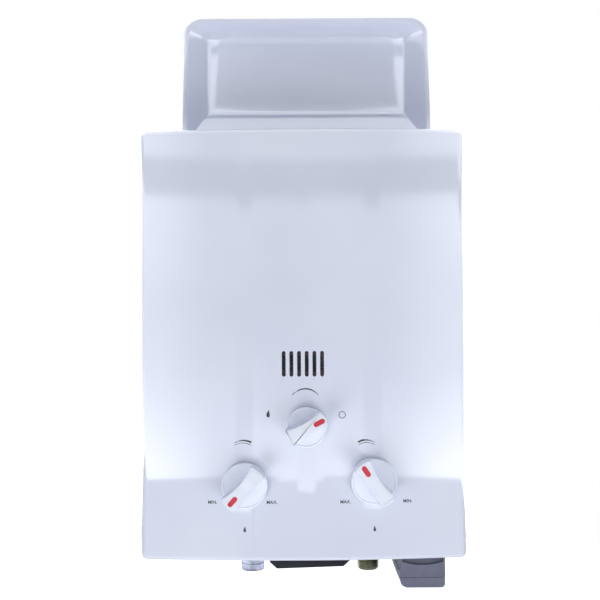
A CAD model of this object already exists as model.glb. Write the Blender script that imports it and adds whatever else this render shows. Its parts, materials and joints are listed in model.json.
"""Dresses a wall-hung propane water heater around its packed construction model.

Every piece is in metres in the construction's own frame: X runs to the right as seen
from the front, Y from the front to the wall and Z up. Sizes are held in millimetres.
"""

import json
import logging
import math
from collections.abc import Callable, Iterator, Sequence
from contextlib import contextmanager
from dataclasses import dataclass, field
from enum import Enum

import bmesh
import bpy
from mathutils import Matrix, Vector

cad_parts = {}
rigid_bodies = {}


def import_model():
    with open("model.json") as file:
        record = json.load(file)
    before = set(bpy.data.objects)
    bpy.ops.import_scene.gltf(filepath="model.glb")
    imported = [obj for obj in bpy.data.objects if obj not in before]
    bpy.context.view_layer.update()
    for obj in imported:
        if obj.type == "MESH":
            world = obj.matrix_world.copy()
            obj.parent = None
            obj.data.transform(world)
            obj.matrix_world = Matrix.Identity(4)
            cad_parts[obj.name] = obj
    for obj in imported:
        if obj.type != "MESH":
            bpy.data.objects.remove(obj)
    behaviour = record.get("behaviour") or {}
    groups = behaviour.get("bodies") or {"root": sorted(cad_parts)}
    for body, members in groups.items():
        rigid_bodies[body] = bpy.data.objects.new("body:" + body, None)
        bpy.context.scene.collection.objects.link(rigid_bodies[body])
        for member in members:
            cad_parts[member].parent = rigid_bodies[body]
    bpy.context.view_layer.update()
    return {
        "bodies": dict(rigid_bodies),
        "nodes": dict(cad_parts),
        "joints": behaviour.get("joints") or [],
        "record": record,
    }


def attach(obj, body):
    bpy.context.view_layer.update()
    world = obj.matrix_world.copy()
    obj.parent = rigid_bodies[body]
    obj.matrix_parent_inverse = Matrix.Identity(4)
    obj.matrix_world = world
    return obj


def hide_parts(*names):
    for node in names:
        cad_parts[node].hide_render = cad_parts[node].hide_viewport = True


LOG = logging.getLogger("water_heater")
MM = 0.001
MERGE = 2e-6
Piece = bpy.types.Object
Colour = tuple[float, float, float]


class Pattern(Enum):
    """The surface patterns that a finish can have."""

    ENAMEL = "enamel_ripple"
    BRUSHED = "brushed_grain"
    CAST = "cast_skin"
    MOULDED = "moulded_grain"
    SPANGLE = "zinc_spangle"
    SHEATH = "sheath_marks"


class Part(Enum):
    """The kinds of mesh part that can be picked in edit mode."""

    VERT = "verts"
    EDGE = "edges"
    FACE = "faces"


def mm(*values: float) -> Vector:
    """Turns millimetres into a vector in metres."""
    return Vector(values) * MM


# ---------------------------------------------------------------------------
# Bench work: the operators that shape a piece
# ---------------------------------------------------------------------------


def clear_selection() -> None:
    """Leaves edit mode and deselects everything."""
    if bpy.context.mode != "OBJECT":
        bpy.ops.object.mode_set(mode="OBJECT")
    bpy.ops.object.select_all(action="DESELECT")


def activate(piece: Piece) -> None:
    """Makes one piece the only selected and active one."""
    clear_selection()
    piece.select_set(True)
    bpy.context.view_layer.objects.active = piece


def settle(piece: Piece) -> Piece:
    """Puts a piece's place into its mesh and its object at the origin."""
    activate(piece)
    bpy.ops.object.transform_apply(location=True, rotation=True, scale=True)
    return piece


def named(name: str) -> Piece:
    """Names the piece that was just added and settles it.

    Args:
        name: The piece's name.

    Returns:
        The piece, with its place in its mesh.
    """
    piece = bpy.context.active_object
    piece.name = name
    piece.data.name = name
    return settle(piece)


@contextmanager
def editing(piece: Piece, part: Part = Part.EDGE) -> Iterator[None]:
    """Opens a piece in edit mode with nothing selected, and closes it again.

    Args:
        piece: The piece to shape.
        part: What is picked while it is open.
    """
    activate(piece)
    bpy.ops.object.mode_set(mode="EDIT")
    bpy.ops.mesh.select_mode(type=part.name)
    bpy.ops.mesh.select_all(action="DESELECT")
    yield
    bpy.ops.object.mode_set(mode="OBJECT")


def pick(piece: Piece, part: Part, test: Callable) -> int:
    """Selects the parts of an open piece that a test accepts.

    Args:
        piece: The piece in edit mode.
        part: The kind of part to look at.
        test: Takes one part and says whether it is wanted.

    Returns:
        How many parts were picked.
    """
    bpy.ops.mesh.select_all(action="DESELECT")
    mesh = bmesh.from_edit_mesh(piece.data)
    wanted = [item for item in getattr(mesh, part.value) if test(item)]
    for item in wanted:
        item.select_set(True)
    bmesh.update_edit_mesh(piece.data)
    return len(wanted)


def both_ends(test: Callable[[Vector], bool]) -> Callable:
    """Makes a test of a point into a test of an edge whose two ends pass it."""
    return lambda edge: all(test(vert.co) for vert in edge.verts)


def bevel_picked(width: float, steps: int) -> None:
    """Rounds the picked edges of the open piece; the width is in millimetres."""
    bpy.ops.mesh.bevel(offset=width * MM, offset_type="OFFSET", segments=steps, profile=0.5,
                       affect="EDGES")


def pick_all() -> None:
    """Selects everything in the open piece."""
    bpy.ops.mesh.select_all(action="SELECT")


def extrude(move: Sequence[float]) -> None:
    """Extrudes what is picked in the open piece and moves it by a distance in metres."""
    bpy.ops.mesh.extrude_region_move(TRANSFORM_OT_translate={"value": move})


def flip(piece: Piece) -> None:
    """Turns every face of a piece over."""
    with editing(piece, Part.FACE):
        pick_all()
        bpy.ops.mesh.flip_normals()


def apply_modifier(piece: Piece, kind: str, **settings: object) -> None:
    """Adds one modifier to a piece, sets it and applies it.

    Args:
        piece: The piece to change.
        kind: The modifier's type.
        settings: Its settings by name.
    """
    activate(piece)
    bpy.ops.object.modifier_add(type=kind)
    modifier = piece.modifiers[-1]
    for name, value in settings.items():
        setattr(modifier, name, value)
    bpy.ops.object.modifier_apply(modifier=modifier.name)


def carve(piece: Piece, cutter: Piece, operation: str = "DIFFERENCE") -> Piece:
    """Cuts a piece with another one, which is used up.

    Args:
        piece: The piece that stays.
        cutter: The piece that shapes it.
        operation: DIFFERENCE, INTERSECT or UNION.

    Returns:
        The piece that stays.
    """
    apply_modifier(piece, "BOOLEAN", operation=operation, solver="EXACT", object=cutter)
    bpy.data.objects.remove(cutter, do_unlink=True)
    return piece


def join(name: str, parts: Sequence[Piece]) -> Piece:
    """Joins several pieces into one.

    Args:
        name: The name of the joined piece.
        parts: The pieces, of which the first one stays.

    Returns:
        The joined piece.
    """
    activate(parts[0])
    for part in parts[1:]:
        part.select_set(True)
    if len(parts) > 1:
        bpy.ops.object.join()
    parts[0].name = name
    parts[0].data.name = name
    return parts[0]


def smooth(piece: Piece, degrees: float = 35.0) -> Piece:
    """Shades a piece smooth except over edges sharper than an angle."""
    activate(piece)
    bpy.ops.object.shade_smooth_by_angle(angle=math.radians(degrees))
    return piece


def tidy_mesh(piece: Piece) -> Piece:
    """Merges a closed piece's doubles and turns its faces outwards."""
    with editing(piece, Part.VERT):
        pick_all()
        bpy.ops.mesh.remove_doubles(threshold=MERGE)
        bpy.ops.mesh.normals_make_consistent(inside=False)
    return piece


def twin(piece: Piece, name: str, place: Matrix) -> Piece:
    """Copies a piece with a mesh of its own and sets it in a new place.

    Args:
        piece: The piece to copy.
        name: The copy's name.
        place: Where the copy goes.

    Returns:
        The settled copy.
    """
    copy = piece.copy()
    copy.data = piece.data.copy()
    copy.name = name
    bpy.context.scene.collection.objects.link(copy)
    copy.matrix_world = place
    return settle(copy)


def trace(name: str, points: Sequence[Vector], closed: bool = False) -> Piece:
    """Draws a line by extruding one vertex from point to point.

    Args:
        name: The piece's name.
        points: The line's corners, in metres.
        closed: Whether the line is closed and filled with a face.

    Returns:
        The drawn piece.
    """
    clear_selection()
    bpy.ops.mesh.primitive_plane_add(size=1.0)
    piece = named(name)
    with editing(piece, Part.VERT):
        pick_all()
        bpy.ops.mesh.merge(type="CENTER")
        bpy.ops.transform.translate(value=points[0])
        for before, after in zip(points, points[1:]):
            extrude(after - before)
        if closed:
            first, last = points[0], points[-1]
            pick(piece, Part.VERT,
                 lambda vert: (vert.co - first).length < MERGE or (vert.co - last).length < MERGE)
            bpy.ops.mesh.edge_face_add()
            pick_all()
            bpy.ops.mesh.edge_face_add()
    return piece


def lathe(name: str, profile: Sequence[tuple[float, float]], place: Matrix,
          steps: int = 72) -> Piece:
    """Turns a profile about its own Z axis.

    Args:
        name: The piece's name.
        profile: Pairs of radius and height in millimetres.
        place: Where the turned piece goes.
        steps: Steps round the axis.

    Returns:
        The settled piece.
    """
    piece = trace(name, [mm(radius, 0, height) for radius, height in profile])
    with editing(piece, Part.VERT):
        pick_all()
        bpy.ops.mesh.spin(steps=steps, angle=2 * math.pi, center=(0, 0, 0), axis=(0, 0, 1))
    tidy_mesh(piece)
    piece.matrix_world = place
    return settle(piece)


def cylinder(name: str, radius: float, length: float, middle: Vector, turn: Matrix | None = None,
             sides: int = 64) -> Piece:
    """Adds a cylinder from a radius and length in millimetres and a middle in metres."""
    clear_selection()
    bpy.ops.mesh.primitive_cylinder_add(vertices=sides, radius=radius * MM, depth=length * MM)
    piece = named(name)
    piece.matrix_world = Matrix.Translation(middle) @ (turn or Matrix.Identity(4))
    return settle(piece)


def block(name: str, low: Vector, high: Vector) -> Piece:
    """Adds a block between two corners in metres."""
    clear_selection()
    bpy.ops.mesh.primitive_cube_add(size=1.0)
    piece = named(name)
    piece.matrix_world = Matrix.Translation((low + high) / 2) @ Matrix.Diagonal((*(high - low),
                                                                                 1.0))
    return settle(piece)


TO_FRONT = Matrix.Rotation(math.pi / 2, 4, "X")
TO_RIGHT = Matrix.Rotation(math.pi / 2, 4, "Y")


# ---------------------------------------------------------------------------
# Finishes
# ---------------------------------------------------------------------------


class Effect:
    """A shared shader group that turns a place on a piece into colour, roughness and height."""

    def __init__(self, pattern: Pattern) -> None:
        """Makes the empty group with its named inputs and outputs."""
        self.tree = bpy.data.node_groups.new(pattern.value, "ShaderNodeTree")
        for name, kind in (("Vector", "NodeSocketVector"), ("Scale", "NodeSocketFloat"),
                           ("Light", "NodeSocketColor"), ("Dark", "NodeSocketColor"),
                           ("Smoothest", "NodeSocketFloat"), ("Roughest", "NodeSocketFloat")):
            self.tree.interface.new_socket(name=name, in_out="INPUT", socket_type=kind)
        for name, kind in (("Color", "NodeSocketColor"), ("Roughness", "NodeSocketFloat"),
                           ("Height", "NodeSocketFloat")):
            self.tree.interface.new_socket(name=name, in_out="OUTPUT", socket_type=kind)
        self.inputs = self.tree.nodes.new("NodeGroupInput")
        self.outputs = self.tree.nodes.new("NodeGroupOutput")
        getattr(self, pattern.name.lower())()

    def node(self, kind: str, **settings: object) -> bpy.types.Node:
        """Adds a node and sets its properties."""
        node = self.tree.nodes.new(kind)
        for name, value in settings.items():
            setattr(node, name, value)
        return node

    def link(self, source: bpy.types.NodeSocket, target: bpy.types.NodeSocket) -> None:
        """Joins two sockets."""
        self.tree.links.new(source, target)

    def noise(self, factor: float, detail: float = 3.0,
              stretch: Colour | None = None) -> bpy.types.NodeSocket:
        """Adds noise at the group's scale times a factor.

        Args:
            factor: How much finer than the group's scale it is.
            detail: Octaves of the noise.
            stretch: Scale along each axis, if it isn't even.

        Returns:
            The noise's value.
        """
        scale = self.node("ShaderNodeMath", operation="MULTIPLY")
        self.link(self.inputs.outputs["Scale"], scale.inputs[0])
        scale.inputs[1].default_value = factor
        noise = self.node("ShaderNodeTexNoise")
        noise.inputs["Detail"].default_value = detail
        self.link(scale.outputs[0], noise.inputs["Scale"])
        vector = self.inputs.outputs["Vector"]
        if stretch:
            mapping = self.node("ShaderNodeMapping")
            mapping.inputs["Scale"].default_value = stretch
            self.link(vector, mapping.inputs["Vector"])
            vector = mapping.outputs["Vector"]
        self.link(vector, noise.inputs["Vector"])
        return noise.outputs["Fac"]

    def cells(self) -> bpy.types.Node:
        """Adds a cell pattern at the group's scale."""
        cells = self.node("ShaderNodeTexVoronoi", feature="F1")
        self.link(self.inputs.outputs["Scale"], cells.inputs["Scale"])
        self.link(self.inputs.outputs["Vector"], cells.inputs["Vector"])
        return cells

    def spread(self, value: bpy.types.NodeSocket, low: float, high: float) -> bpy.types.NodeSocket:
        """Stretches a value between two levels to the whole range from 0 to 1."""
        remap = self.node("ShaderNodeMapRange")
        remap.inputs["From Min"].default_value = low
        remap.inputs["From Max"].default_value = high
        self.link(value, remap.inputs["Value"])
        return remap.outputs["Result"]

    def cloud(self, factor: float, detail: float, low: float = 0.3) -> bpy.types.NodeSocket:
        """Stretches noise evenly about its middle level, from a low level upwards."""
        return self.spread(self.noise(factor, detail), low, 1 - low)

    def finish(self, tone: bpy.types.NodeSocket, rough: bpy.types.NodeSocket,
               height: bpy.types.NodeSocket) -> None:
        """Joins the three values that change over the surface to the group's outputs.

        Args:
            tone: 0 for the dark colour and 1 for the light one.
            rough: 0 for the smoothest and 1 for the roughest.
            height: The height for the bump.
        """
        colours = self.node("ShaderNodeMix", data_type="RGBA")
        self.link(tone, colours.inputs["Factor"])
        self.link(self.inputs.outputs["Dark"], colours.inputs[6])
        self.link(self.inputs.outputs["Light"], colours.inputs[7])
        self.link(colours.outputs[2], self.outputs.inputs["Color"])
        levels = self.node("ShaderNodeMapRange")
        self.link(rough, levels.inputs["Value"])
        self.link(self.inputs.outputs["Smoothest"], levels.inputs["To Min"])
        self.link(self.inputs.outputs["Roughest"], levels.inputs["To Max"])
        self.link(levels.outputs["Result"], self.outputs.inputs["Roughness"])
        self.link(height, self.outputs.inputs["Height"])

    def enamel(self) -> None:
        """Sprayed enamel: a slow drift of tone, soft gloss changes and a fine ripple."""
        self.finish(self.cloud(0.012, 2.0, 0.35), self.cloud(0.1, 4.0), self.noise(1.0, 1.0))

    def brushed(self) -> None:
        """Drawn or rolled metal: long scratches along X and cloudy tone."""
        grain = self.noise(1.0, 4.0, (0.05, 1.0, 1.0))
        self.finish(self.cloud(0.06, 4.0), grain, grain)

    def cast(self) -> None:
        """Cast metal: a pebbled skin with darker hollows."""
        pebbles = self.cells()
        self.finish(self.cloud(0.15, 5.0), self.cloud(0.8, 3.0), pebbles.outputs["Distance"])

    def moulded(self) -> None:
        """Moulded plastic: a fine spark-eroded grain and faint handling marks."""
        self.finish(self.cloud(0.03, 3.0), self.cloud(0.12, 5.0), self.noise(1.0, 2.0))

    def spangle(self) -> None:
        """Zinc-coated sheet: angular crystals, each with its own tone and gloss."""
        crystals = self.cells()
        split = self.node("ShaderNodeSeparateColor")
        self.link(crystals.outputs["Color"], split.inputs["Color"])
        self.finish(split.outputs["Red"], split.outputs["Green"], self.noise(3.0, 2.0))

    def sheath(self) -> None:
        """Drawn lead insulation: a soft sheen with faint rings of handling."""
        rings = self.noise(1.0, 2.0, (1.0, 1.0, 0.3))
        self.finish(self.cloud(0.2, 3.0), rings, rings)


@dataclass(frozen=True)
class Finish:
    """One material: its pattern, two colours and how it shines."""

    slot: str
    pattern: Pattern
    light: Colour
    dark: Colour
    scale: float
    roughness: tuple[float, float]
    bump: float = 0.02
    metallic: float = 0.0
    coat: float = 0.0
    coat_roughness: float = 0.05
    coat_ior: float = 1.5
    ior: float = 1.5

    def make(self, effects: dict[Pattern, Effect]) -> bpy.types.Material:
        """Builds the material with its effect group and its own shader.

        Args:
            effects: The shared groups by pattern.

        Returns:
            The finished material.
        """
        material = bpy.data.materials.new("finish_" + self.slot)
        material.use_nodes = True
        tree = material.node_tree
        shader = tree.nodes["Principled BSDF"]
        place = tree.nodes.new("ShaderNodeTexCoord")
        effect = tree.nodes.new("ShaderNodeGroup")
        effect.node_tree = effects[self.pattern].tree
        bump = tree.nodes.new("ShaderNodeBump")
        bump.inputs["Distance"].default_value = self.bump * MM
        for name, value in (("Scale", self.scale), ("Light", (*self.light, 1.0)),
                            ("Dark", (*self.dark, 1.0)), ("Smoothest", self.roughness[0]),
                            ("Roughest", self.roughness[1])):
            effect.inputs[name].default_value = value
        for name, value in (("Metallic", self.metallic), ("IOR", self.ior),
                            ("Coat Weight", self.coat), ("Coat Roughness", self.coat_roughness),
                            ("Coat IOR", self.coat_ior)):
            shader.inputs[name].default_value = value
        for source, target in ((place.outputs["Object"], effect.inputs["Vector"]),
                               (effect.outputs["Color"], shader.inputs["Base Color"]),
                               (effect.outputs["Roughness"], shader.inputs["Roughness"]),
                               (effect.outputs["Height"], bump.inputs["Height"]),
                               (bump.outputs["Normal"], shader.inputs["Normal"])):
            tree.links.new(source, target)
        return material


def srgb(red: int, green: int, blue: int) -> Colour:
    """Turns a colour written as a screen shows it into the shader's own values."""
    def linear(level: int) -> float:
        """One channel of it."""
        share = level / 255
        return share / 12.92 if share <= 0.04045 else ((share + 0.055) / 1.055) ** 2.4
    return linear(red), linear(green), linear(blue)


FINISHES = (
    Finish("enamel", Pattern.ENAMEL, srgb(212, 217, 232), srgb(207, 212, 229), 900.0, (0.34, 0.42),
           0.004,
           coat=1.0, coat_roughness=0.045, coat_ior=1.75),
    Finish("zinc_steel", Pattern.SPANGLE, srgb(196, 199, 203), srgb(160, 164, 170), 180.0,
           (0.28, 0.5), 0.01,
           metallic=1.0),
    Finish("screw_steel", Pattern.BRUSHED, srgb(205, 206, 210), srgb(170, 172, 178), 2500.0,
           (0.18, 0.32), 0.004,
           metallic=1.0),
    Finish("mesh_steel", Pattern.BRUSHED, srgb(58, 60, 66), srgb(38, 39, 44), 1500.0, (0.45, 0.6),
           0.01,
           metallic=0.6),
    Finish("copper", Pattern.BRUSHED, srgb(200, 128, 92), srgb(158, 92, 66), 700.0, (0.24, 0.42),
           0.01,
           metallic=1.0),
    Finish("brass", Pattern.CAST, srgb(152, 152, 128), srgb(108, 109, 92), 900.0, (0.26, 0.42),
           0.012,
           metallic=1.0),
    Finish("cast_aluminium", Pattern.CAST, srgb(190, 194, 210), srgb(152, 157, 176), 1100.0,
           (0.32, 0.5), 0.03,
           metallic=1.0),
    Finish("steel", Pattern.BRUSHED, srgb(176, 178, 182), srgb(132, 134, 140), 1200.0, (0.26, 0.44),
           0.01,
           metallic=1.0),
    Finish("white_plastic", Pattern.MOULDED, srgb(228, 233, 246), srgb(221, 226, 240), 2600.0,
           (0.2, 0.28), 0.003,
           coat=0.4, coat_roughness=0.08),
    Finish("red_mark", Pattern.MOULDED, srgb(206, 16, 46), srgb(186, 10, 38), 2000.0, (0.25, 0.35),
           0.003,
           coat=0.3, coat_roughness=0.1),
    Finish("grey_plastic", Pattern.MOULDED, srgb(98, 100, 118), srgb(86, 88, 106), 3600.0,
           (0.42, 0.56), 0.02),
    Finish("black_plastic", Pattern.MOULDED, srgb(30, 34, 42), srgb(20, 23, 30), 3200.0,
           (0.5, 0.62), 0.02,
           ior=1.35),
    Finish("ceramic", Pattern.ENAMEL, srgb(236, 232, 220), srgb(222, 216, 202), 1400.0, (0.12, 0.2),
           0.004,
           coat=0.8, coat_roughness=0.05),
    Finish("rubber", Pattern.MOULDED, srgb(34, 34, 35), srgb(22, 22, 23), 2400.0, (0.65, 0.85),
           0.02),
    Finish("cell_jacket", Pattern.SHEATH, srgb(60, 72, 104), srgb(44, 54, 82), 600.0, (0.18, 0.3),
           0.004,
           coat=0.5, coat_roughness=0.08),
    Finish("lead_sheath", Pattern.SHEATH, srgb(170, 42, 38), srgb(130, 28, 26), 900.0, (0.35, 0.5),
           0.01),
    Finish("print", Pattern.MOULDED, srgb(44, 46, 56), srgb(30, 32, 42), 3000.0, (0.4, 0.55),
           0.002),
)


class PaintShop:
    """Holds the finishes and dresses pieces with them."""

    def __init__(self) -> None:
        """Builds the shared effects and every finish once."""
        effects = {pattern: Effect(pattern) for pattern in Pattern}
        self.materials = {finish.slot: finish.make(effects) for finish in FINISHES}

    def dress(self, piece: Piece, slot: str) -> Piece:
        """Gives a new piece one finish and its record slot.

        Args:
            piece: The piece to dress.
            slot: The finish's name.

        Returns:
            The same piece.
        """
        piece.data.materials.clear()
        piece.data.materials.append(self.materials[slot])
        return piece

    def dress_node(self, node: Piece, slot: str) -> None:
        """Gives a construction node its finish without touching its mesh."""
        if not node.material_slots:
            node.data.materials.append(self.materials[slot])
        for held in node.material_slots:
            held.material = self.materials[slot]


# ---------------------------------------------------------------------------
# Sub-assemblies
# ---------------------------------------------------------------------------


@dataclass
class Workshop:
    """What every sub-assembly needs: the loaded frame, the finishes and the pieces made."""

    frame: dict
    paint: PaintShop
    made: list[Piece] = field(default_factory=list)

    def hand_over(self, piece: Piece, slot: str, body: str, *nodes: str) -> Piece:
        """Dresses a finished piece, lets it ride on a body and hides the nodes it stands for.

        Args:
            piece: The finished piece.
            slot: Its finish.
            body: The body that it moves with.
            nodes: The construction nodes that it replaces.

        Returns:
            The same piece.
        """
        self.paint.dress(piece, slot)
        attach(piece, body)
        if nodes:
            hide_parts(*nodes)
        self.made.append(piece)
        LOG.info("%s: %d faces on %s", piece.name, len(piece.data.polygons), body)
        return piece

    def slot_of(self, node: str) -> str:
        """The record's material slot of one node."""
        parts = self.frame["record"]["subparts"]
        return next(part["material_slot"] for part in parts if part["node"] == node)

    def body_of(self, node: str) -> str:
        """The body that holds one node."""
        bodies = self.frame["record"]["behaviour"]["bodies"]
        return next(name for name, nodes in bodies.items() if node in nodes)

    def copy_of(self, node: str, name: str) -> Piece:
        """Copies a node's mesh into a new piece with merged, flat faces.

        Args:
            node: The construction node.
            name: The new piece's name.

        Returns:
            The new piece.
        """
        source = self.frame["nodes"][node]
        piece = bpy.data.objects.new(name, source.data.copy())
        bpy.context.scene.collection.objects.link(piece)
        piece.matrix_world = source.matrix_world.copy()
        settle(piece)
        with editing(piece, Part.VERT):
            pick_all()
            bpy.ops.mesh.remove_doubles(threshold=MERGE)
            bpy.ops.mesh.dissolve_limited(angle_limit=math.radians(0.4))
        return piece

    def softened(self, node: str, width: float, steps: int = 2, angle: float = 40.0) -> Piece:
        """Replaces a node by a copy whose sharp edges are rounded.

        Args:
            node: The construction node.
            width: The rounding in millimetres.
            steps: Steps across the rounding.
            angle: How sharp an edge must be, in degrees.

        Returns:
            The finished piece.
        """
        piece = self.copy_of(node, node + "_rounded")
        apply_modifier(piece, "BEVEL", width=width * MM, segments=steps, limit_method="ANGLE",
                       angle_limit=math.radians(angle), use_clamp_overlap=True)
        smooth(piece, 32.0)
        return self.hand_over(piece, self.slot_of(node), self.body_of(node), node)


@dataclass
class FrontCover:
    """The bowed, drawn front cover with its slots, spindle holes and printing."""

    shop: Workshop
    width: float = 295.0
    height: float = 390.0
    side_depth: float = 120.0
    bow: float = 9.0
    gauge: float = 0.8
    corner: float = 5.0
    return_end: float = 112.0
    rear: float = 1.0
    strips: int = 52
    corner_steps: int = 6
    through: float = 24.0
    screw_hole: float = 2.2
    rim_softening: float = 0.3
    smoothing: float = 20.0
    slot_count: int = 6
    slot_pitch: float = 6.9
    slot_size: tuple[float, float] = (3.4, 23.0)
    slot_rise: float = -18.0
    spindles: tuple[tuple[float, float], ...] = ((-52.6, -126.4), (63.0, -123.3), (2.6, -74.5))
    hole: float = 7.0
    screw_rise: float = 150.0
    screw_inset: float = 8.0
    battery_middle: float = 107.6
    battery_width: float = 42.1
    battery_front: float = 118.3

    @property
    def bow_radius(self) -> float:
        """The radius of the bowed front."""
        return (self.width ** 2 / 4 + self.bow ** 2) / (2 * self.bow)

    def front_at(self, across: float) -> float:
        """How far the outer face stands in front of the wall at a distance from the middle."""
        radius = self.bow_radius
        return self.side_depth + self.bow - radius + math.sqrt(radius ** 2 - across ** 2)

    def build(self) -> Piece:
        """Spins the front, folds the sides back, rounds the edges and cuts the openings.

        Returns:
            The finished cover.
        """
        half_width = self.width / 2 * MM
        half_height = self.height / 2 * MM
        centre_y = (self.bow_radius - self.side_depth - self.bow) * MM
        sweep = 2 * math.asin(self.width / 2 / self.bow_radius)
        piece = trace("front_cover_shell", [mm(-self.width / 2, -self.side_depth, -self.height / 2),
                                            mm(-self.width / 2, -self.side_depth, self.height / 2)])
        with editing(piece, Part.EDGE):
            pick_all()
            bpy.ops.mesh.spin(steps=self.strips, angle=-sweep, center=(0, centre_y, 0),
                              axis=(0, 0, 1))
            pick_all()
            bpy.ops.mesh.remove_doubles(threshold=MERGE)
            pick(piece, Part.EDGE, lambda edge: edge.is_boundary)
            extrude((0, 0.02, 0))
            bpy.ops.transform.resize(value=(1, 0, 1), center_override=(0, -self.return_end * MM, 0))
            pick_all()
            bpy.ops.mesh.normals_make_consistent(inside=False)
            fold = (-self.return_end - 0.5) * MM
            pick(piece, Part.EDGE, lambda edge: self.on_fold(edge, half_width, half_height, fold))
            bevel_picked(self.corner, self.corner_steps)
            flat = half_width - (self.corner + 0.01) * MM
            back = -self.return_end * MM - MERGE
            pick(piece, Part.EDGE, lambda edge: edge.is_boundary and both_ends(
                lambda point: abs(point.x) > flat and point.y > back)(edge))
            extrude(mm(0, self.return_end - self.rear, 0))
            pick_all()
            bpy.ops.mesh.normals_make_consistent(inside=False)
        self.face_outwards(piece)
        apply_modifier(piece, "SOLIDIFY", thickness=self.gauge * MM, offset=-1.0,
                       use_even_offset=True)
        carve(piece, self.openings())
        self.soften_openings(piece)
        smooth(piece, self.smoothing)
        return self.shop.hand_over(piece, "enamel", "case", "front_cover")

    @staticmethod
    def on_fold(edge: bmesh.types.BMEdge, half_width: float, half_height: float,
                fold: float) -> bool:
        """Whether an edge lies on the drawn perimeter or on one of the four corners behind it."""
        first, second = (vert.co for vert in edge.verts)
        at_side = abs(first.x - second.x) < MERGE and abs(abs(first.x) - half_width) < MERGE
        at_end = abs(first.z - second.z) < MERGE and abs(abs(first.z) - half_height) < MERGE
        if edge.is_boundary:
            return False
        runs_back = abs(first.y - second.y) > 0.004
        if at_side and at_end and runs_back:
            return True
        return (at_side or at_end) and not runs_back and max(first.y, second.y) < fold

    @staticmethod
    def face_outwards(piece: Piece) -> None:
        """Turns an open shell so that its front faces the front."""
        front = min(piece.data.polygons, key=lambda face: face.center.y)
        if front.normal.y > 0:
            flip(piece)

    def openings(self) -> Piece:
        """Makes the one cutter for every opening of the cover."""
        cutters = []
        first = (self.slot_count - 1) / 2
        reach = -(self.side_depth + self.bow / 2)
        wide, tall = self.slot_size
        for index in range(self.slot_count):
            across = (index - first) * self.slot_pitch
            cutters.append(self.slot_cutter(f"slot_cutter_{index}", across, wide, tall, reach))
        for index, (x, z) in enumerate(self.spindles):
            cutters.append(cylinder(f"spindle_cutter_{index}", self.hole, self.through,
                                    mm(x, reach, z), TO_FRONT, 48))
        for side in (-1, 1):
            for level in (-1, 1):
                cutters.append(cylinder(f"screw_cutter_{side}_{level}", self.screw_hole, 8,
                                        mm(side * self.width / 2, -self.screw_inset,
                                           level * self.screw_rise),
                                        TO_RIGHT, 32))
        cutters.append(block("battery_cutter",
                             mm(self.battery_middle - self.battery_width / 2, -self.battery_front,
                                -self.height / 2 - 2),
                             mm(self.battery_middle + self.battery_width / 2, -self.return_end + 5,
                                -self.height / 2 + 3)))
        return join("cover_cutter", cutters)

    def slot_cutter(self, name: str, across: float, wide: float, tall: float,
                    reach: float) -> Piece:
        """Draws one upright slot with round ends and extrudes it through the sheet."""
        steps = 10
        top = self.slot_rise + tall / 2 - wide / 2
        base = self.slot_rise - tall / 2 + wide / 2
        points = []
        for start, level in ((0.0, top), (math.pi, base)):
            for index in range(steps + 1):
                angle = start + math.pi * index / steps
                points.append(mm(across + wide / 2 * math.cos(angle), reach - self.through / 2,
                                 level + wide / 2 * math.sin(angle)))
        piece = trace(name, points, closed=True)
        with editing(piece, Part.FACE):
            pick_all()
            extrude(mm(0, self.through, 0))
        return tidy_mesh(piece)

    def soften_openings(self, piece: Piece) -> None:
        """Rounds the front rims of the slots and spindle holes a little."""
        outer = self.gauge / 2 * MM
        centres = [((index - (self.slot_count - 1) / 2) * self.slot_pitch, self.slot_rise,
                    self.slot_size[1] / 2)
                   for index in range(self.slot_count)]
        centres += [(x, z, self.hole) for x, z in self.spindles]

        def at_rim(edge: bmesh.types.BMEdge) -> bool:
            """Whether an edge lies on the outer rim of an opening."""
            middle = (edge.verts[0].co + edge.verts[1].co) / 2
            across, up = middle.x / MM, middle.z / MM
            if abs(middle.y + self.front_at(across) * MM) > outer or len(edge.link_faces) != 2:
                return False
            if edge.calc_face_angle(0.0) < math.radians(60):
                return False
            return any(abs(across - x) < 9 and abs(up - z) < reach + 2 for x, z, reach in centres)

        with editing(piece, Part.EDGE):
            if pick(piece, Part.EDGE, at_rim):
                bevel_picked(self.rim_softening, 2)


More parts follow.
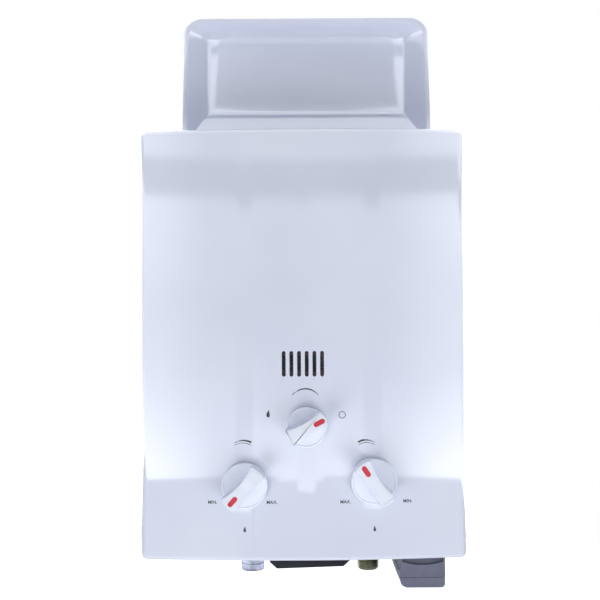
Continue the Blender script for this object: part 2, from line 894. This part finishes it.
@dataclass
class Printing:
    """The plain marks printed on the cover: MIN and MAX, wedges, a flame, a ring and a drop."""

    shop: Workshop
    cover: FrontCover
    lift: float = 0.05
    letter: float = 4.1
    stroke: float = 0.1
    word_rise: float = -142.0
    words: tuple[tuple[str, float], ...] = (
        ("MIN.", -82.0), ("MAX.", -28.5), ("MAX.", 37.5), ("MIN.", 93.5))
    bands: tuple[tuple, ...] = (
        ("season_arc", (2.0, -56.5), 15.5, -50, 50, 0.15, 0.3, 1.0),
        ("gas_wedge", (-54.7, -101.0), 14.0, -32, 32, 0.2, 1.9),
        ("gas_line", (-54.7, -102.6), 13.6, -32, 32, 0.35, 0.6),
        ("water_wedge", (57.0, -101.2), 14.0, -32, 32, 1.9, 0.2),
        ("water_line", (57.0, -102.8), 13.6, -32, 32, 0.6, 0.35))
    drops: tuple[tuple, ...] = (
        ("water_drop", (63.6, -166.0), 3.0),
        ("gas_flame", (-53.0, -166.0), 3.0, True),
        ("winter_flame", (-31.5, -62.5), 3.9, True))
    ring: tuple = ("summer_ring", (35.0, -64.0), 2.6, 0, 360, 0.6, 0.6)

    def build(self) -> Piece:
        """Makes every mark and lays it on the bowed front.

        Returns:
            The marks as one piece.
        """
        marks = [self.word(f"word_{index}", word, x, self.word_rise)
                 for index, (word, x) in enumerate(self.words)]
        marks += [self.wedge(*band) for band in self.bands]
        marks += [self.drop(*drop) for drop in self.drops]
        marks.append(self.wedge(*self.ring))
        piece = join("cover_printing", marks)
        self.lay_down(piece)
        return self.shop.hand_over(piece, "print", "case")

    def lay_down(self, piece: Piece) -> None:
        """Moves each point of the flat marks onto the bowed face."""
        for vert in piece.data.vertices:
            vert.co.y = -(self.cover.front_at(vert.co.x / MM) + self.lift) * MM

    def word(self, name: str, text: str, x: float, z: float) -> Piece:
        """Writes one word, makes it a mesh and stands it upright at its place."""
        clear_selection()
        bpy.ops.object.text_add()
        item = bpy.context.active_object
        item.name = name
        item.data.body = text
        item.data.size = self.letter * MM
        item.data.align_x = "CENTER"
        item.data.align_y = "CENTER"
        item.data.resolution_u = 3
        item.data.offset = self.stroke * MM
        bpy.ops.object.convert(target="MESH")
        item = bpy.context.active_object
        item.matrix_world = Matrix.Translation(mm(x, 0, z)) @ TO_FRONT
        return settle(item)

    def wedge(self, name: str, centre: tuple[float, float], radius: float, start: float, end: float,
              first: float, last: float, swell: float = 0.0) -> Piece:
        """Draws a thin curved band whose width changes from one end to the other.

        Args:
            name: The mark's name.
            centre: The middle of its circle in millimetres.
            radius: The circle's radius in millimetres.
            start: Where it starts, in degrees clockwise from straight up.
            end: Where it ends.
            first: Its width at the start in millimetres.
            last: Its width at the end.
            swell: How much wider it is in the middle.

        Returns:
            The flat mark.
        """
        steps = max(12, int(abs(end - start) / 6))
        angles = [math.radians(start + (end - start) * i / steps) for i in range(steps + 1)]
        piece = trace(name, [mm(centre[0] + radius * math.sin(angle), 0,
                                centre[1] + radius * math.cos(angle)) for angle in angles])
        origin = mm(centre[0], 0, centre[1])
        with editing(piece, Part.VERT):
            pick_all()
            extrude((0, 0, 0))
            share = (radius + max(first, last)) / radius
            bpy.ops.transform.resize(value=(share, 1, share), center_override=origin)
        total = len(piece.data.vertices) // 2
        for index in range(total):
            inner = piece.data.vertices[index].co
            outer = piece.data.vertices[index + total].co
            share = index / max(1, total - 1)
            width = first + (last - first) * share + swell * math.sin(math.pi * share)
            outer[:] = inner + (outer - inner).normalized() * width * MM
        return piece

    @staticmethod
    def drop(name: str, centre: tuple[float, float], size: float, flame: bool = False) -> Piece:
        """Draws a small filled drop, or a flame whose tip leans over."""
        points = []
        for index in range(20):
            angle = 2 * math.pi * index / 20
            pinch = 0.5 * (1 - math.cos(angle))
            x = 0.55 * size * math.sin(angle) * pinch ** 0.7
            z = 0.9 * size * math.cos(angle)
            lean = 0.28 * size * max(0.0, z / size) ** 2 if flame else 0.0
            points.append(mm(centre[0] + x + lean, 0, centre[1] + z))
        return trace(name, points, closed=True)


@dataclass
class RainHood:
    """The open-fronted hood: a drawn tray with a turned rim and a foot flange."""

    shop: Workshop
    middle: float = 5.0
    rim_half: float = 118.0
    rim_top: float = 315.0
    rim_depth: float = 70.0
    floor_depth: float = 44.0
    hem: float = 4.5
    side_draft: float = 20.5
    top_draft: float = 1.0
    foot_top: float = 195.1
    crease: float = 39.0
    flare: float = 2.5
    corner: float = 13.5
    bend: float = 8.2
    gauge: float = 1.0
    foot: float = 12.0
    lip: float = 3.0
    corner_steps: int = 8
    bend_steps: int = 6
    smoothing: float = 38.0

    @property
    def inner(self) -> tuple[float, float]:
        """Half the width and the top of the tray inside its rim."""
        return self.rim_half - self.hem, self.rim_top - self.hem

    def build(self) -> Piece:
        """Extrudes the walls from the back, rounds the bends and turns the rim.

        Returns:
            The finished hood.
        """
        inner_half, inner_top = self.inner
        floor_half = inner_half - self.side_draft
        floor_top = inner_top - self.top_draft
        floor_base = self.foot_top + self.crease
        clear_selection()
        bpy.ops.mesh.primitive_plane_add(size=1.0, rotation=(math.pi / 2, 0, 0))
        piece = named("rain_hood_shell")
        piece.matrix_world = (Matrix.Translation(mm(self.middle, -self.floor_depth,
                                                    (floor_top + floor_base) / 2))
                              @ Matrix.Diagonal((2 * floor_half * MM, 1.0,
                                                 (floor_top - floor_base) * MM, 1.0)))
        settle(piece)
        stretch = (inner_top - self.foot_top) / (floor_top - floor_base)
        fixed = (inner_top - stretch * floor_top) / (1 - stretch)
        rim = -self.rim_depth * MM
        with editing(piece, Part.EDGE):
            pick_all()
            extrude(mm(0, self.floor_depth - self.rim_depth, 0))
            bpy.ops.transform.resize(value=(inner_half / floor_half, 1, stretch),
                                     center_override=mm(self.middle, 0, fixed))
            pick(piece, Part.FACE, lambda face: all(vert.co.y < rim + MERGE for vert in face.verts))
            bpy.ops.mesh.delete(type="ONLY_FACE")
            low = (self.foot_top + 1) * MM
            pick(piece, Part.VERT, lambda vert: vert.co.z < low)
            bpy.ops.transform.resize(value=((inner_half + self.flare) / inner_half, 1, 1),
                                     center_override=mm(self.middle, 0, 0))
            pick(piece, Part.EDGE, lambda edge: abs(edge.verts[0].co.y - edge.verts[1].co.y) > 0.01
                 and max(vert.co.z for vert in edge.verts) > (floor_top - 5) * MM)
            bevel_picked(self.corner, self.corner_steps)
            pick(piece, Part.EDGE,
                 both_ends(lambda point: point.y > -(self.floor_depth + 0.5) * MM))
            bevel_picked(self.bend, self.bend_steps)
        self.turn_rim(piece, rim)
        self.face_front(piece)
        apply_modifier(piece, "SOLIDIFY", thickness=self.gauge * MM, offset=-1.0,
                       use_even_offset=True)
        smooth(piece, self.smoothing)
        return self.shop.hand_over(piece, "enamel", "case", "rain_hood")

    def turn_rim(self, piece: Piece, rim: float) -> None:
        """Turns the rim outwards and back, and runs the foot flange forward."""
        inner_half, inner_top = self.inner
        low = (self.foot_top + 0.5) * MM
        with editing(piece, Part.EDGE):
            pick(piece, Part.EDGE, lambda edge: edge.is_boundary
                 and max(vert.co.z for vert in edge.verts) > low)
            extrude((0, 0, 0))
            bpy.ops.transform.resize(
                value=((self.rim_half - 0.05) / inner_half, 1,
                       (self.rim_top - 0.05 - self.foot_top) / (inner_top - self.foot_top)),
                center_override=mm(self.middle, 0, self.foot_top))
            extrude(mm(0, self.lip, 0))
            pick(piece, Part.EDGE,
                 lambda edge: not edge.is_boundary and edge.calc_face_angle(0.0) > 0.9
                 and both_ends(lambda point: point.y < rim + MERGE)(edge))
            bevel_picked(0.8, 3)
            pick(piece, Part.EDGE, lambda edge: edge.is_boundary and both_ends(
                lambda point: point.z < low and point.y < rim + 0.002)(edge)
                and abs(edge.verts[0].co.x - edge.verts[1].co.x) > 0.1)
            extrude(mm(0, -self.foot, 0))

    @staticmethod
    def face_front(piece: Piece) -> None:
        """Turns the tray so that its inside faces the front."""
        with editing(piece, Part.FACE):
            pick_all()
            bpy.ops.mesh.normals_make_consistent(inside=False)
        back = max(piece.data.polygons, key=lambda face: face.center.y)
        if back.normal.y > 0:
            flip(piece)


class Pointer(Enum):
    """The three controls, named as their construction nodes are."""

    GAS = "gas"
    WATER = "water"
    SEASON = "season"


@dataclass
class Knob:
    """A moulded knob: a rimmed disc, a waisted grip and a recess for the red mark."""

    shop: Workshop
    control: Pointer
    radius: float
    angle: float
    x: float
    z: float
    base: float
    skirt: float = 5.0
    height: float = 21.0
    waist: float = 10.5
    hollow: float = 62.0
    overhang: float = 1.2
    rounding: float = 0.8
    rim: float = 1.5
    mark: tuple[float, float, float] = (10.5, 4.4, 0.8)
    mark_share: float = 0.70
    mark_play: float = 0.08
    groove: tuple[float, float] = (0.5, 0.6)
    sink: float = 2.0
    side_rounding: float = 0.9
    smoothing: float = 32.0

    def build(self) -> Piece:
        """Models the knob on its own axis and turns it to its place.

        Returns:
            The finished knob.
        """
        name = self.control.value
        knob = join(name + "_knob_moulding", [self.disc(name), self.grip(name)])
        smooth(knob, self.smoothing)
        knob.matrix_world = (Matrix.Translation(mm(self.x, -self.base, self.z)) @ TO_FRONT
                             @ Matrix.Rotation(-math.radians(self.angle), 4, "Z"))
        settle(knob)
        return self.shop.hand_over(knob, "white_plastic", name + "_control", name + "_knob")

    def disc(self, name: str) -> Piece:
        """Makes the disc with a rounded edge and a thin raised rim."""
        piece = cylinder(name + "_knob_moulding", self.radius, self.skirt, mm(0, 0, self.skirt / 2),
                         sides=96)
        with editing(piece, Part.FACE):
            pick(piece, Part.FACE, lambda face: face.normal.z > 0.9)
            bpy.ops.mesh.inset(thickness=self.rim * MM, depth=0)
            bpy.ops.mesh.inset(thickness=self.groove[0] * MM, depth=-self.groove[1] * MM)
            outer = (self.radius - 0.05) * MM
            pick(piece, Part.EDGE, both_ends(
                lambda point: point.z > (self.skirt - 0.1) * MM and math.hypot(point.x,
                                                                               point.y) > outer))
            bevel_picked(self.rounding, 4)
        return piece

    def grip(self, name: str) -> Piece:
        """Makes the waisted grip by hollowing both sides of a round bar."""
        sunk = self.skirt - self.sink
        piece = cylinder(name + "_grip", self.radius - 0.02, self.height - sunk,
                         mm(0, 0, (self.height + sunk) / 2),
                         sides=96)
        with editing(piece, Part.VERT):
            pick(piece, Part.VERT, lambda vert: vert.co.y > self.radius * 0.85 * MM)
            bpy.ops.transform.translate(value=mm(0, self.overhang, 0))
        for side in (-1, 1):
            cutter = cylinder(name + "_hollow", self.hollow, self.height + 6,
                              mm(side * (self.hollow + self.waist / 2), 0, self.height / 2),
                              sides=256)
            carve(piece, cutter)
        carve(piece, self.capsule(name))
        tidy_mesh(piece)
        top = (self.height - 0.01) * MM
        middle = self.mark_share * self.radius * MM
        reach = (self.mark[0] / 2 + 0.3) * MM
        beside = (self.mark[1] / 2 + 0.3) * MM
        with editing(piece, Part.EDGE):
            pick(piece, Part.EDGE, lambda edge: abs(edge.verts[0].co.z - edge.verts[1].co.z) > 0.01
                 and edge.calc_face_angle(0.0) > 0.6)
            bevel_picked(self.side_rounding, 3)
            pick(piece, Part.EDGE, lambda edge: edge.calc_face_angle(0.0) > 0.6 and both_ends(
                lambda point: point.z > top and (
                    abs(point.x) > beside or abs(point.y - middle) > reach))(edge))
            bevel_picked(self.rounding, 4)
        return piece

    def capsule(self, name: str) -> Piece:
        """Makes the cutter for the mark's recess."""
        length, width, depth = self.mark
        middle = self.mark_share * self.radius
        offset = length / 2 - width / 2
        radius = width / 2 + self.mark_play
        points = []
        for sign in (1, -1):
            for index in range(13):
                angle = math.pi * index / 12 + (0 if sign > 0 else math.pi)
                points.append(mm(radius * math.cos(angle),
                                 middle + sign * offset + radius * math.sin(angle),
                                 self.height - depth))
        piece = trace(name + "_recess", points, closed=True)
        with editing(piece, Part.FACE):
            pick_all()
            extrude(mm(0, 0, depth + 2))
        return tidy_mesh(piece)


@dataclass
class CaseScrews:
    """The pan-head screws with crossed recesses that hold the cover, hood and igniter."""

    shop: Workshop
    head: float = 4.0
    head_height: float = 2.2
    shank: float = 1.9
    length: float = 7.0
    crown: float = 1.5
    cover_rows: tuple[float, float, float] = (147.5, -8.0, 150.0)
    hood_row: tuple[float, float, float, float] = (5.0, 85.0, -76.0, 195.1)
    igniter_row: tuple[float, float, float, float] = (5.8, 25.0, -75.0, -182.0)

    def master(self) -> Piece:
        """Models one screw at the origin, its head upwards.

        Returns:
            The screw that the others are copied from.
        """
        profile = [(0.0, self.head_height)]
        for index in range(7):
            angle = math.radians(90 - 15 * index)
            profile.append((self.head - self.crown + self.crown * math.cos(angle),
                            self.head_height - self.crown + self.crown * math.sin(angle)))
        profile += [(self.head, 0.0), (self.shank, 0.0)]
        turns = 5
        for index in range(turns):
            level = -self.length * (index + 0.5) / (turns + 1)
            profile += [(self.shank * 0.72, level), (self.shank, level - 0.35)]
        profile += [(self.shank * 0.6, -self.length + 0.6), (0.0, -self.length)]
        screw = lathe("screw_master", profile, Matrix.Identity(4), 32)
        arms = [block(f"recess_{index}", mm(-wide, -deep, self.head_height - 1.3),
                      mm(wide, deep, 4))
                for index, (wide, deep) in enumerate(((2.1, 0.42), (0.42, 2.1)))]
        cross = carve(arms[0], arms[1], "UNION")
        return carve(screw, cross)

    def build(self) -> Piece:
        """Copies the screw to the nine places.

        Returns:
            The screws as one piece.
        """
        master = self.master()
        places = []
        across, row, rise = self.cover_rows
        for side in (-1, 1):
            for level in (-1, 1):
                turn = Matrix.Rotation(side * math.pi / 2, 4, "Y")
                places.append(Matrix.Translation(mm(side * across, row, level * rise)) @ turn)
        middle, span, row, rise = self.hood_row
        for index in (-1, 0, 1):
            places.append(Matrix.Translation(mm(middle + index * span, row,
                                                rise)) @ Matrix.Rotation(0.5 * index, 4, "Z"))
        middle, span, row, rise = self.igniter_row
        for side in (-1, 1):
            places.append(Matrix.Translation(mm(middle + side * span, row,
                                                rise)) @ Matrix.Rotation(0.4 * side, 4, "Z"))
        copies = [twin(master, f"screw_{index}", place) for index, place in enumerate(places)]
        bpy.data.objects.remove(master, do_unlink=True)
        piece = smooth(join("case_screw_heads", copies), 32.0)
        return self.shop.hand_over(piece, "screw_steel", "case", "case_screws")


@dataclass
class Fittings:
    """The three fittings under the case, with real thread forms."""

    shop: Workshop
    pitch: float = 1.814
    crest: float = 10.4775
    root: float = 9.35
    bore: float = 7.0
    foot: float = -222.0
    smoothing: float = 30.0

    def thread(self, name: str, crest: float, root: float, low: float, high: float,
               place: Matrix) -> Piece:
        """Winds a thread profile up an axis.

        Args:
            name: The thread's name.
            crest: The radius over the crests in millimetres.
            root: The radius at the roots.
            low: Where the thread starts on the axis.
            high: Where it ends.
            place: Where the axis stands.

        Returns:
            The wound thread.
        """
        turns = int((high - low) / self.pitch)
        pitch = self.pitch
        piece = trace(name,
                      [mm(root, 0, low), mm(root, 0, low + 0.12 * pitch),
                       mm(crest, 0, low + 0.42 * pitch),
                             mm(crest, 0, low + 0.58 * pitch), mm(root, 0, low + 0.88 * pitch),
                             mm(root, 0, low + pitch)])
        apply_modifier(piece, "SCREW", axis="Z", angle=2 * math.pi, screw_offset=pitch * MM,
                       iterations=turns,
                       steps=48, render_steps=48, use_merge_vertices=False)
        tidy_mesh(piece)
        sample = max(piece.data.polygons, key=lambda face: face.area)
        outward = sample.center.x * sample.normal.x + sample.center.y * sample.normal.y
        if (outward > 0) != (crest > root):
            flip(piece)
        piece.matrix_world = place
        return settle(piece)

    def cold_inlet(self) -> Piece:
        """Cuts the plain neck off a copy of the water valve and sets a threaded one in its place.

        Returns:
            The dressed water valve.
        """
        seat = -183.0
        valve = self.shop.copy_of("water_valve_body", "water_valve_casting")
        with editing(valve, Part.FACE):
            pick_all()
            bpy.ops.mesh.bisect(plane_co=mm(0, 0, seat), plane_no=(0, 0, 1), clear_inner=True,
                                use_fill=False)
        place = Matrix.Translation(mm(63.0, -50.0, 0))
        low = self.foot
        tube = lathe("cold_neck",
                     [(self.bore, seat), (self.bore, low + 0.5), (self.bore + 0.5, low),
                                   (self.root - 0.6, low), (self.root, low + 0.6),
                                   (self.root, seat + 0.2),
                                   (self.crest, seat + 0.2), (self.crest, seat)], place)
        threads = [self.thread("cold_hose_thread", self.crest, self.root, low + 0.5, low + 19.0,
                               place),
                   self.thread("cold_nut_thread", self.crest, self.root, low + 21.5, seat - 0.5,
                               place)]
        piece = smooth(join("water_valve_dressed", [valve, tube, *threads]), self.smoothing)
        return self.shop.hand_over(piece, "brass", "case", "water_valve_body")

    def hot_outlet(self) -> Piece:
        """Turns the hot outlet and winds its thread.

        Returns:
            The dressed hot outlet.
        """
        place = Matrix.Translation(mm(-112.0, -32.0, 0))
        low, high = -214.0, -163.0
        tube = lathe("hot_tube",
                     [(5.0, high - 7), (5.0, low + 11), (self.bore, low + 10.5),
                      (self.bore, low + 0.5),
                                  (self.bore + 0.5, low), (self.root - 0.6, low),
                                  (self.root, low + 0.6),
                                  (self.root, -184.5), (self.crest, -184), (self.crest, high - 3),
                                  (8.0, high - 1),
                                  (8.0, high), (6.05, high), (6.05, high - 7), (5.0, high - 7)],
                                  place)
        thread = self.thread("hot_thread", self.crest, self.root, low + 0.5, low + 19.0, place)
        piece = smooth(join("hot_outlet_dressed", [tube, thread]), self.smoothing)
        return self.shop.hand_over(piece, "brass", "case", "hot_outlet")

    def gas_inlet(self) -> Piece:
        """Turns the gas inlet with its groove, rounded end and inner thread.

        Returns:
            The dressed gas inlet.
        """
        place = Matrix.Translation(mm(-50.0, -50.0, 0))
        low = self.foot
        outer = 11.3
        groove = low + 7.6
        profile = [(6.0, -153.0), (6.0, low + 12), (8.2, low + 11.6), (8.2, low + 0.7), (8.9, low),
                   (outer - 1.2, low)]
        for index in range(1, 7):
            angle = math.radians(15 * index)
            profile.append((outer - 1.2 + 1.2 * math.sin(angle), low + 1.2 - 1.2 * math.cos(angle)))
        profile += [(outer, groove - 1.0), (outer - 0.3, groove - 0.8), (outer - 1.0, groove - 0.8),
                    (outer - 1.0, groove + 0.8), (outer - 0.3, groove + 0.8), (outer, groove + 1.0),
                    (outer, -160.3), (7.95, -160.3), (7.95, -153.0), (6.0, -153.0)]
        tube = lathe("gas_tube", profile, place)
        thread = self.thread("gas_thread", 7.475, 8.25, low + 1.0, low + 11.0, place)
        piece = smooth(join("gas_inlet_dressed", [tube, thread]), self.smoothing)
        return self.shop.hand_over(piece, "cast_aluminium", "case", "gas_inlet")


@dataclass
class Softened:
    """The construction nodes whose shape stays and whose edges are rounded."""

    shop: Workshop
    widths: dict[str, float] = field(default_factory=lambda: {
        "back_frame": 0.3, "flue_grille": 0.3, "battery_box": 0.4, "battery_door": 0.4,
        "igniter_box": 0.4,
        "gas_locknut": 0.5, "water_locknuts": 0.5, "battery_door_pin": 0.2, "gas_valve_body": 0.8,
        "gas_manifold": 0.6, "water_valve_cup": 0.6, "combustion_chamber": 0.2,
        "flue_collector": 0.2,
        "burner_rack": 0.2, "burner_blades": 0.3, "micro_switch": 0.4, "solenoid_valve": 0.5,
        "drain_plug": 0.5, "housing_bolts": 0.3, "battery_cells": 0.5, "push_rod": 0.2,
    })

    def build(self) -> list[Piece]:
        """Rounds each of them in turn."""
        return [self.shop.softened(node, width) for node, width in self.widths.items()]


# ---------------------------------------------------------------------------
# Studio
# ---------------------------------------------------------------------------


@dataclass
class Studio:
    """The pale floor, the soft lamps, the world and the camera at the photograph's place."""

    distance: float = 929.0
    camera_height: float = 15.5
    lens: float = 53.4
    pitch: float = 1.0
    roll: float = 0.34
    shift: float = 0.0183
    floor_level: float = -1600.0
    aside: float = -2.4
    fill: float = 0.3
    side_bands: tuple[tuple[str, float], ...] = (
        ("From Min", 0.2), ("From Max", 0.42), ("To Min", 2.6), ("To Max", 5.6))
    stops: tuple[tuple[float, float], ...] = (
        (0.0, 0.5), (0.38, 0.95), (0.47, 0.42), (0.53, 0.42), (0.6, 0.62), (0.612, 0.62),
        (0.622, 0.16), (0.644, 0.2), (0.652, 0.62), (0.8, 0.7), (0.9, 1.2), (1.0, 1.2))

    def build(self) -> None:
        """Sets up everything round the object."""
        self.floor()
        self.world()
        self.lamps()
        self.camera()
        bpy.context.scene.view_settings.view_transform = "Standard"

    def floor(self) -> None:
        """Lays a large pale floor well below the hanging object."""
        clear_selection()
        bpy.ops.mesh.primitive_circle_add(vertices=64, radius=6.0, fill_type="NGON",
                                          location=mm(0, 0, self.floor_level))
        floor = named("studio_floor")
        material = bpy.data.materials.new("studio_floor")
        material.use_nodes = True
        tree = material.node_tree
        shader = tree.nodes["Principled BSDF"]
        shader.inputs["Base Color"].default_value = (0.82, 0.83, 0.85, 1.0)
        shader.inputs["Roughness"].default_value = 0.9
        path = tree.nodes.new("ShaderNodeLightPath")
        shader.inputs["Emission Color"].default_value = (1.0, 1.0, 1.0, 1.0)
        tree.links.new(path.outputs["Is Camera Ray"], shader.inputs["Emission Strength"])
        floor.data.materials.append(material)

    def world(self) -> None:
        """Lights the object evenly, and shows white to the camera and soft bands to gloss."""
        world = bpy.data.worlds.new("studio_world")
        bpy.context.scene.world = world
        world.use_nodes = True
        tree = world.node_tree
        tree.nodes.clear()
        output, path, fill, bands, white, place, split, ramp, shift, aside, sides, gloss, seen = (
            tree.nodes.new("ShaderNode" + kind) for kind in (
                "OutputWorld", "LightPath", "Background", "Background", "Background", "TexCoord",
                "SeparateXYZ", "ValToRGB", "MapRange", "Math", "MapRange", "MixShader",
                "MixShader"))
        fill.inputs["Color"].default_value = (0.93, 0.95, 1.0, 1.0)
        fill.inputs["Strength"].default_value = self.fill
        white.inputs["Color"].default_value = (1.0, 1.0, 1.0, 1.0)
        shift.inputs["From Min"].default_value = -1.0
        aside.operation = "ABSOLUTE"
        sides.interpolation_type = "SMOOTHSTEP"
        for name, value in self.side_bands:
            sides.inputs[name].default_value = value
        stops = ramp.color_ramp.elements
        for index, (position, level) in enumerate(self.stops):
            stop = stops[index] if index < 2 else stops.new(position)
            stop.position = position
            stop.color = (level * 0.97, level * 0.99, level * 1.05, 1.0)
        for source, target in (
            (place.outputs["Generated"], split.inputs["Vector"]),
            (split.outputs["Z"], shift.inputs["Value"]),
            (shift.outputs["Result"], ramp.inputs["Fac"]),
            (split.outputs["X"], aside.inputs[0]),
            (aside.outputs[0], sides.inputs["Value"]),
            (sides.outputs["Result"], bands.inputs["Strength"]),
            (ramp.outputs["Color"], bands.inputs["Color"]),
            (path.outputs["Is Glossy Ray"], gloss.inputs["Fac"]),
            (fill.outputs[0], gloss.inputs[1]),
            (bands.outputs[0], gloss.inputs[2]),
            (path.outputs["Is Camera Ray"], seen.inputs["Fac"]),
            (gloss.outputs[0], seen.inputs[1]),
            (white.outputs[0], seen.inputs[2]),
            (seen.outputs[0], output.inputs["Surface"]),
        ):
            tree.links.new(source, target)

    def lamps(self) -> None:
        """Hangs two broad lamps low at the front and weaker ones above and behind."""
        for name, place, size, power in (
            ("low_left", (-0.8, -1.15, -0.95), 1.1, 12.5),
            ("low_right", (0.8, -1.15, -0.92), 1.1, 11.0),
            ("front_high", (0.0, -1.7, 1.1), 0.9, 2.0),
            ("back_left", (-1.1, 1.3, 0.6), 0.9, 16.0),
            ("back_right", (1.2, 1.2, 0.4), 0.9, 12.0),
        ):
            lamp = bpy.data.lights.new(name, "AREA")
            lamp.shape = "DISK"
            lamp.size = size
            lamp.energy = power
            holder = bpy.data.objects.new(name, lamp)
            holder.location = place
            holder.rotation_mode = "QUATERNION"
            holder.rotation_quaternion = (-Vector(place)).to_track_quat("-Z", "Y")
            holder.visible_glossy = False
            bpy.context.scene.collection.objects.link(holder)

    def camera(self) -> None:
        """Stands the camera where the photograph was taken from."""
        data = bpy.data.cameras.new("photo_camera")
        data.lens = self.lens
        data.sensor_width = 36.0
        camera = bpy.data.objects.new("photo_camera", data)
        camera.location = mm(self.aside, -self.distance, self.camera_height)
        data.shift_y = self.shift
        camera.rotation_euler = (math.radians(90 + self.pitch), math.radians(self.roll), 0.0)
        bpy.context.scene.collection.objects.link(camera)
        bpy.context.scene.camera = camera


# The knobs in the order of Pointer: their radii, their angles as photographed and their gap
# to the cover, in millimetres and in degrees clockwise from straight up.
KNOB_RADII = (20.5, 20.5, 18.2)
KNOB_ANGLES = (-138.0, -35.0, 62.6)
KNOB_GAP = 1.6


def main() -> None:
    """Builds the whole scene in order."""
    logging.basicConfig(level=logging.INFO, format="%(message)s")
    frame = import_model()
    clear_selection()
    shop = Workshop(frame, PaintShop())
    for part in frame["record"]["subparts"]:
        shop.paint.dress_node(frame["nodes"][part["node"]], part["material_slot"])
    cover = FrontCover(shop)
    cover.build()
    Printing(shop, cover).build()
    RainHood(shop).build()
    for control, (x, z), radius, angle in zip(Pointer, cover.spindles, KNOB_RADII, KNOB_ANGLES):
        Knob(shop, control, radius, angle, x, z, cover.front_at(x) + KNOB_GAP).build()
    CaseScrews(shop).build()
    fittings = Fittings(shop)
    fittings.cold_inlet()
    fittings.hot_outlet()
    fittings.gas_inlet()
    Softened(shop).build()
    Studio().build()
    LOG.info("%d new pieces", len(shop.made))


if __name__ == "__main__":
    main()
